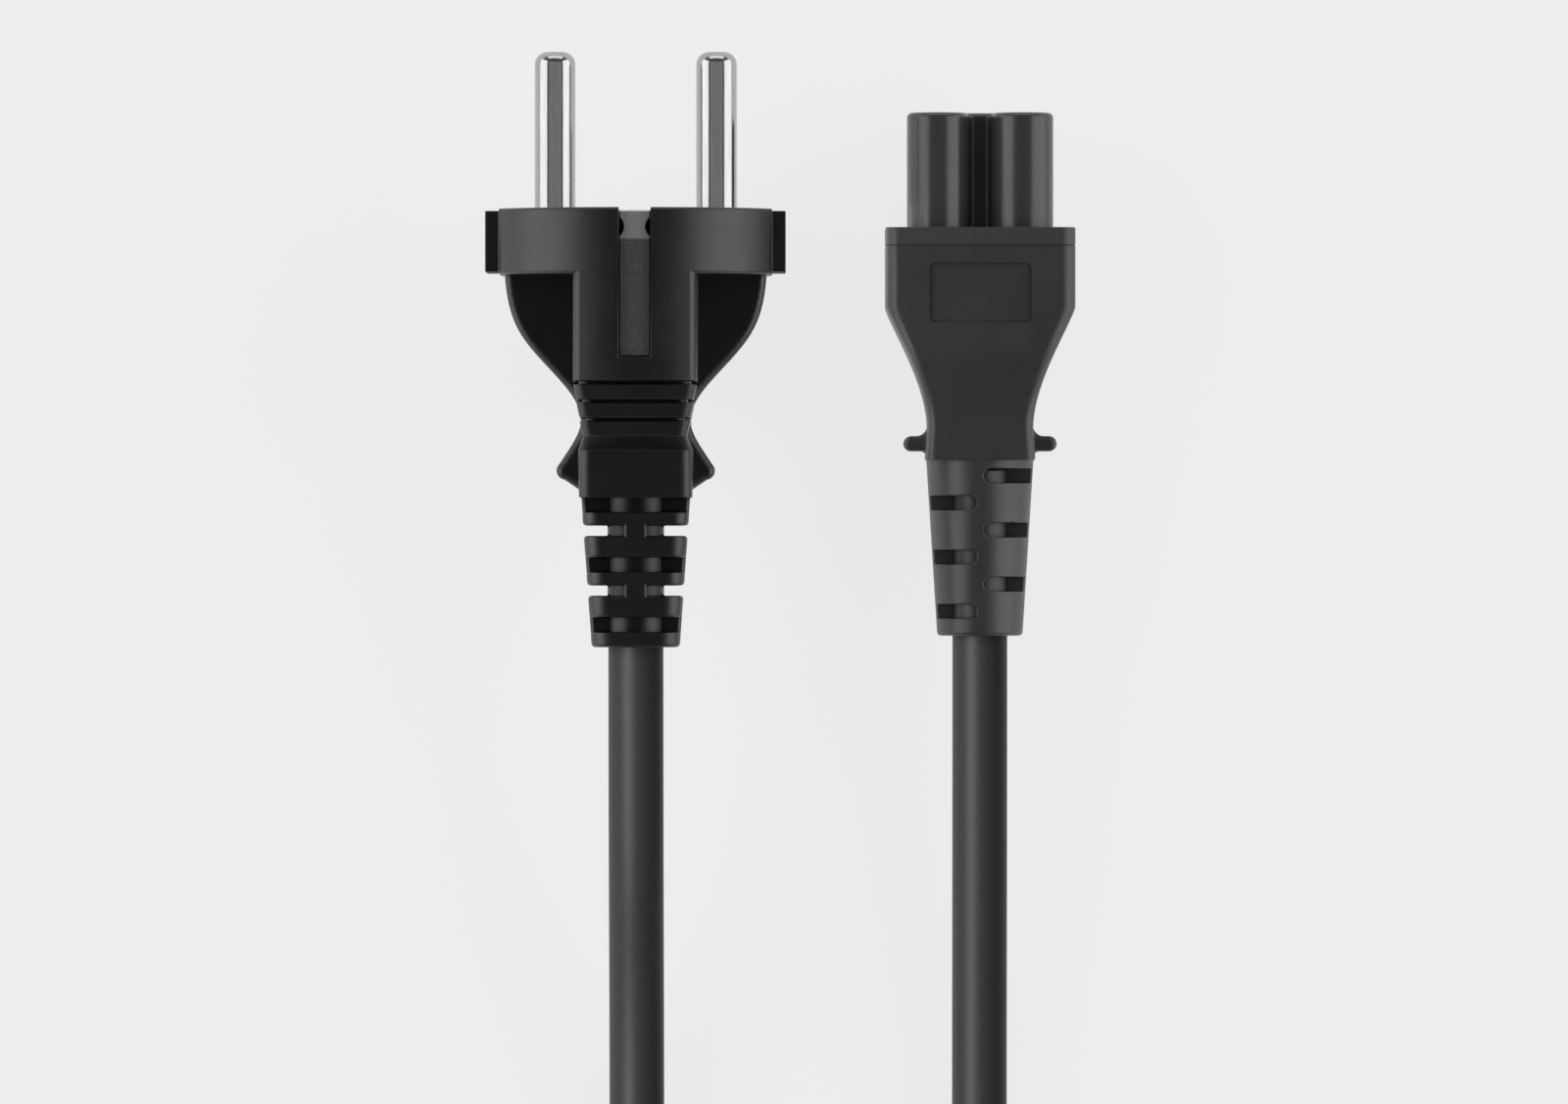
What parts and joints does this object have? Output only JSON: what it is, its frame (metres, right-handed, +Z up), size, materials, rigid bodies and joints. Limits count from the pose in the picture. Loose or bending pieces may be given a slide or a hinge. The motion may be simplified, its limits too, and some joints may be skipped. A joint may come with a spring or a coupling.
{
  "type": "mains lead with three-lobed appliance connector",
  "caption": "Black mains lead laid flat: a moulded three-lobed appliance connector with a slotted strain relief, a round cord in a neat coil, and an earthed plug with round pins.",
  "frame": {"origin": "on the surface that the lead lies on, under the middle of the connector", "axes": "+X to the right in the picture, +Y towards the connector's mouth and the plug's pins, +Z up"},
  "size_m": [0.0936, 0.2425, 0.0358],
  "materials": {
    "black_hard_plastic": "moulded, satin",
    "black_soft_plastic": "fine spark-eroded mould texture",
    "contact_brass": "stamped, bright",
    "nickel_plate": "nickel plated, polished lengthwise",
    "dull_nickel": "nickel plated, dull",
    "brown_insulation": "smooth",
    "blue_insulation": "smooth",
    "green_yellow_insulation": "smooth, two colours",
    "cord_jacket": "smooth, satin"
  },
  "bodies": {
    "root": {"connector_insert": "black_hard_plastic", "connector_overmould": "black_soft_plastic", "contact_line": "contact_brass", "contact_neutral": "contact_brass", "contact_earth": "contact_brass", "connector_core_line": "brown_insulation", "connector_core_neutral": "blue_insulation", "connector_core_earth": "green_yellow_insulation", "plug_overmould": "black_soft_plastic", "plug_pin_carrier": "black_hard_plastic", "plug_pin_line": "nickel_plate", "plug_pin_neutral": "nickel_plate", "plug_earth_bracket": "dull_nickel", "plug_earth_sleeve": "contact_brass", "plug_core_line": "brown_insulation", "plug_core_neutral": "blue_insulation", "plug_core_earth": "green_yellow_insulation", "cord_plug_side": "cord_jacket", "cord_connector_side": "cord_jacket", "cord_coil": "cord_jacket"}
  },
  "joints": []
}
